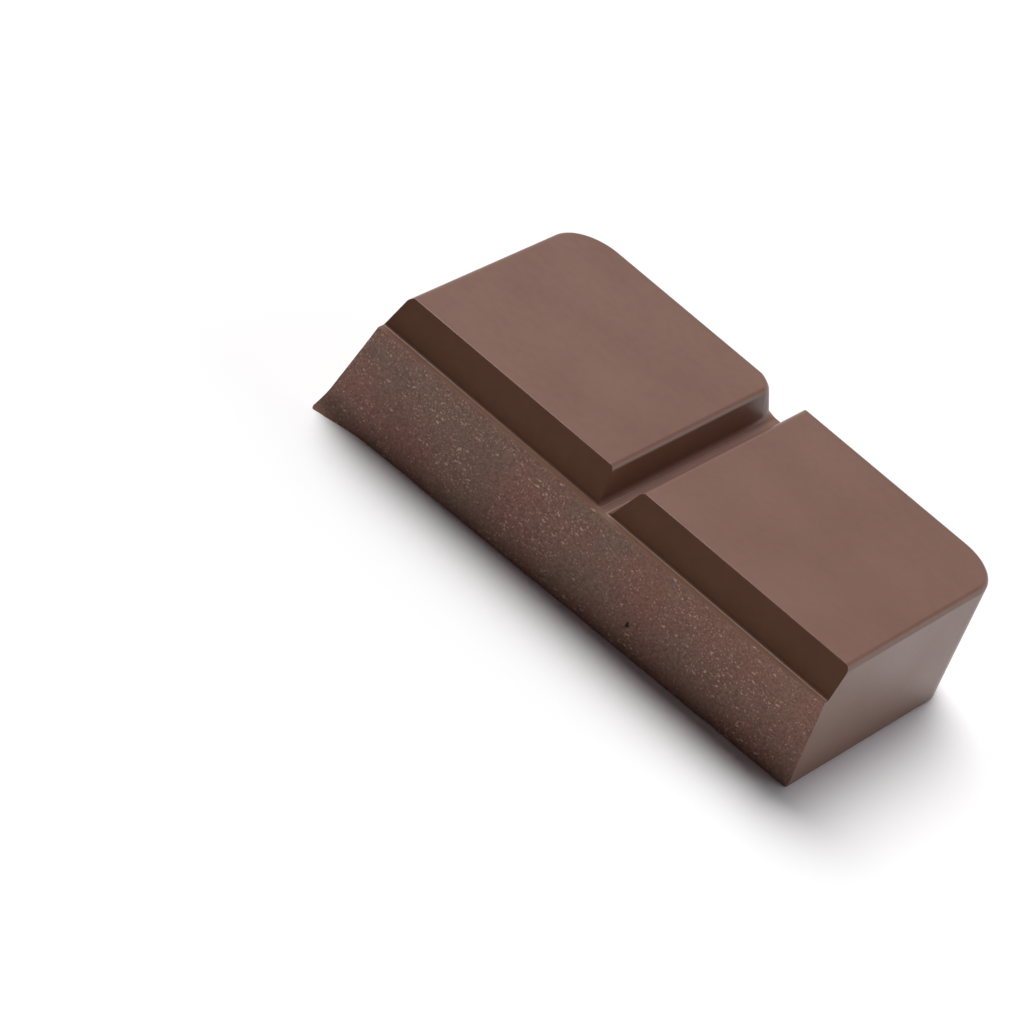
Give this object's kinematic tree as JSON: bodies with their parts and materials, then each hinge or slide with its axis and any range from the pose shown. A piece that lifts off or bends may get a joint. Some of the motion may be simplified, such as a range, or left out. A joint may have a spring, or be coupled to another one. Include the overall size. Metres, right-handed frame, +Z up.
{
  "type": "chocolate bar",
  "caption": "Snapped-off end row of a thick dark chocolate bar: moulded squares with grooves between them, round outer corners, leaning sides and a rough broken face.",
  "frame": {"origin": "middle of the bounding box's bottom face, on the flat base", "axes": "+X along the row of squares, +Y from the broken face to the moulded back, +Z up from the flat base to the squares' tops"},
  "size_m": [0.06, 0.039, 0.0142],
  "materials": {
    "chocolate": "soft satin moulded faces, matt broken face"
  },
  "bodies": {
    "root": {"chocolate_piece": "chocolate"}
  },
  "joints": []
}
